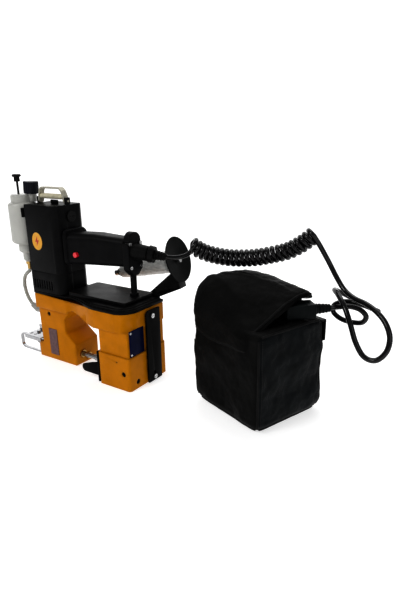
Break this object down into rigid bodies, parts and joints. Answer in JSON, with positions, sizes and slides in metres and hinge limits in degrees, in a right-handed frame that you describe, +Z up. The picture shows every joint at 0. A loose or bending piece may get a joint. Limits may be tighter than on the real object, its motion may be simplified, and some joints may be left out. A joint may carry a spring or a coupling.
{
  "type": "bag closer sewing machine",
  "caption": "Portable bag closer with a horizontal needle line between two legs, grip, thread stand, oiler, curly power cord and battery pouch.",
  "frame": {"origin": "centre of the right block's underside, on the surface the machine stands on", "axes": "+X along the needle line from the leg with the motor towards the block with the looper, -Y out of the front face, +Z up"},
  "size_m": [0.5892, 0.1615, 0.292],
  "materials": {
    "orange_paint": "semi-gloss orange enamel, lightly textured",
    "black_shell": "satin black moulded plastic with a fine grain",
    "black_cover": "semi-gloss black enamel",
    "black_sheet": "black powder coat",
    "black_rubber": "matte black rubber",
    "cord_black": "glossy black cord jacket",
    "button_red": "glossy red translucent button",
    "plate_navy": "blank navy printed plate",
    "label_brown": "blank printed label",
    "screw_steel": "bright zinc-plated steel",
    "chrome_steel": "polished plated steel",
    "ground_steel": "ground steel",
    "gear_steel": "oiled machined steel",
    "pulley_alloy": "machined aluminium",
    "bush_brass": "turned brass",
    "belt_rubber": "toothed black rubber",
    "stator_steel": "laminated steel",
    "rotor_copper": "laminated armature with copper winding",
    "brush_black": "black screw cap with a slot",
    "oiler_white": "translucent milky plastic",
    "cap_navy": "dark ribbed screw cap",
    "plunger_black": "black plunger knob",
    "tube_clear": "cloudy flexible oil tube",
    "fitting_grey": "grey moulded elbow",
    "bracket_black": "satin black painted strip",
    "disc_grey": "dark grey disc with a soft sheen",
    "thread_white": "cross-wound white thread under film",
    "bail_grey": "ridged grey metal with a cream bar",
    "plug_grey": "dark moulded connector",
    "pouch_fabric": "black woven nylon",
    "pack_blue": "shrink-wrapped cell pack"
  },
  "bodies": {
    "frame": {"body_casting": "orange_paint", "motor_housing": "black_shell", "vent_housing": "black_shell", "top_cover": "black_cover", "raised_plate": "black_cover", "handle_grip": "black_shell", "handle_end_plate": "black_shell", "cover_screws": "screw_steel", "cable_gland": "black_rubber", "strain_relief": "black_rubber", "switch_body": "plunger_black", "side_cover_plate": "black_sheet", "name_plate": "plate_navy", "plate_rivets": "screw_steel", "label_plate": "label_brown", "throat_plate": "black_sheet", "bag_guide": "black_sheet", "motor_stator": "stator_steel", "brush_caps": "brush_black", "shaft_bearings": "chrome_steel", "bar_bushes": "bush_brass", "timing_belt": "belt_rubber", "oil_bottle": "oiler_white", "bottle_strap": "black_sheet", "oil_nozzle": "bush_brass", "oil_tube": "tube_clear", "oil_fitting": "fitting_grey", "spool_bracket": "bracket_black", "spool_rod": "screw_steel", "spool_disc": "disc_grey", "hanger_ears": "black_shell", "cord_lead": "cord_black", "cord_coil": "cord_black", "cord_tail": "cord_black", "battery_plug": "plug_grey", "battery_pouch": "pouch_fabric", "battery_pack": "pack_blue"},
    "motor": {"motor_rotor": "rotor_copper", "cooling_fan": "brush_black", "motor_pinion": "gear_steel"},
    "countershaft": {"countershaft": "gear_steel"},
    "crank": {"crankshaft": "gear_steel", "crank_gear": "gear_steel", "drive_pulley": "pulley_alloy"},
    "looper_drive": {"looper_shaft": "gear_steel", "driven_pulley": "pulley_alloy"},
    "looper": {"looper": "ground_steel"},
    "feed": {"feed_dog": "gear_steel"},
    "needle_slide": {"needle_bar": "ground_steel", "needle": "chrome_steel", "thread_takeup": "chrome_steel"},
    "presser": {"presser_bar": "ground_steel", "presser_spring": "gear_steel", "presser_foot": "chrome_steel", "lifter_loop": "chrome_steel"},
    "button": {"power_button": "button_red"},
    "spool": {"thread_spool": "thread_white"},
    "bail": {"hanger_bail": "bail_grey"},
    "bottle_cap": {"oil_cap": "cap_navy"},
    "plunger": {"oil_plunger": "plunger_black"}
  },
  "joints": [
    {"name": "crankshaft_turn", "type": "hinge", "parent": "frame", "child": "crank", "pos_m": [-0.1425, -0.0005, 0.07], "axis": [0, 0, 1], "continuous": true},
    {"name": "countershaft_turn", "type": "hinge", "parent": "frame", "child": "countershaft", "pos_m": [-0.1177, -0.0005, 0.1], "axis": [0, 0, 1], "continuous": true},
    {"name": "motor_turn", "type": "hinge", "parent": "frame", "child": "motor", "pos_m": [-0.1425, -0.0005, 0.18], "axis": [0, 0, 1], "continuous": true},
    {"name": "looper_shaft_turn", "type": "hinge", "parent": "frame", "child": "looper_drive", "pos_m": [0, -0.0005, 0.07], "axis": [0, 0, 1], "continuous": true},
    {"name": "looper_swing", "type": "hinge", "parent": "frame", "child": "looper", "pos_m": [0.008, 0.022, 0.021], "axis": [0, 0, 1], "range_deg": [-5, 14]},
    {"name": "feed_slide", "type": "slide", "parent": "frame", "child": "feed", "axis": [0, 1, 0], "range_m": [-0.003, 0.003]},
    {"name": "needle_bar_slide", "type": "slide", "parent": "frame", "child": "needle_slide", "axis": [1, 0, 0], "range_m": [-0.025, 0]},
    {"name": "presser_slide", "type": "slide", "parent": "frame", "child": "presser", "axis": [1, 0, 0], "range_m": [-0.008, 0], "stiffness_N_per_m": 400, "springref_m": 0.004},
    {"name": "power_button_press", "type": "slide", "parent": "frame", "child": "button", "axis": [0, 1, 0], "range_m": [0, 0.003], "stiffness_N_per_m": 400, "springref_m": -0.001},
    {"name": "spool_turn", "type": "hinge", "parent": "frame", "child": "spool", "pos_m": [0.03, 0.0795, 0.1675], "axis": [0.9564, 0.1174, 0.2672], "continuous": true},
    {"name": "bail_swing", "type": "hinge", "parent": "frame", "child": "bail", "pos_m": [-0.1427, 0.002, 0.255], "axis": [1, 0, 0], "range_deg": [-75, 75]},
    {"name": "oil_cap_turn", "type": "hinge", "parent": "frame", "child": "bottle_cap", "pos_m": [-0.1945, 0.004, 0.2608], "axis": [0.0698, 0, 0.9976], "range_deg": [0, 540]},
    {"name": "oil_plunger_press", "type": "slide", "parent": "frame", "child": "plunger", "axis": [0, 0, 1], "range_m": [-0.008, 0], "stiffness_N_per_m": 250, "springref_m": 0.002}
  ],
  "couplings": [
    {"joint": "countershaft_turn", "follows": "crankshaft_turn", "ratio": -2.1},
    {"joint": "motor_turn", "follows": "crankshaft_turn", "ratio": 8.75},
    {"joint": "looper_shaft_turn", "follows": "crankshaft_turn", "ratio": 1}
  ]
}
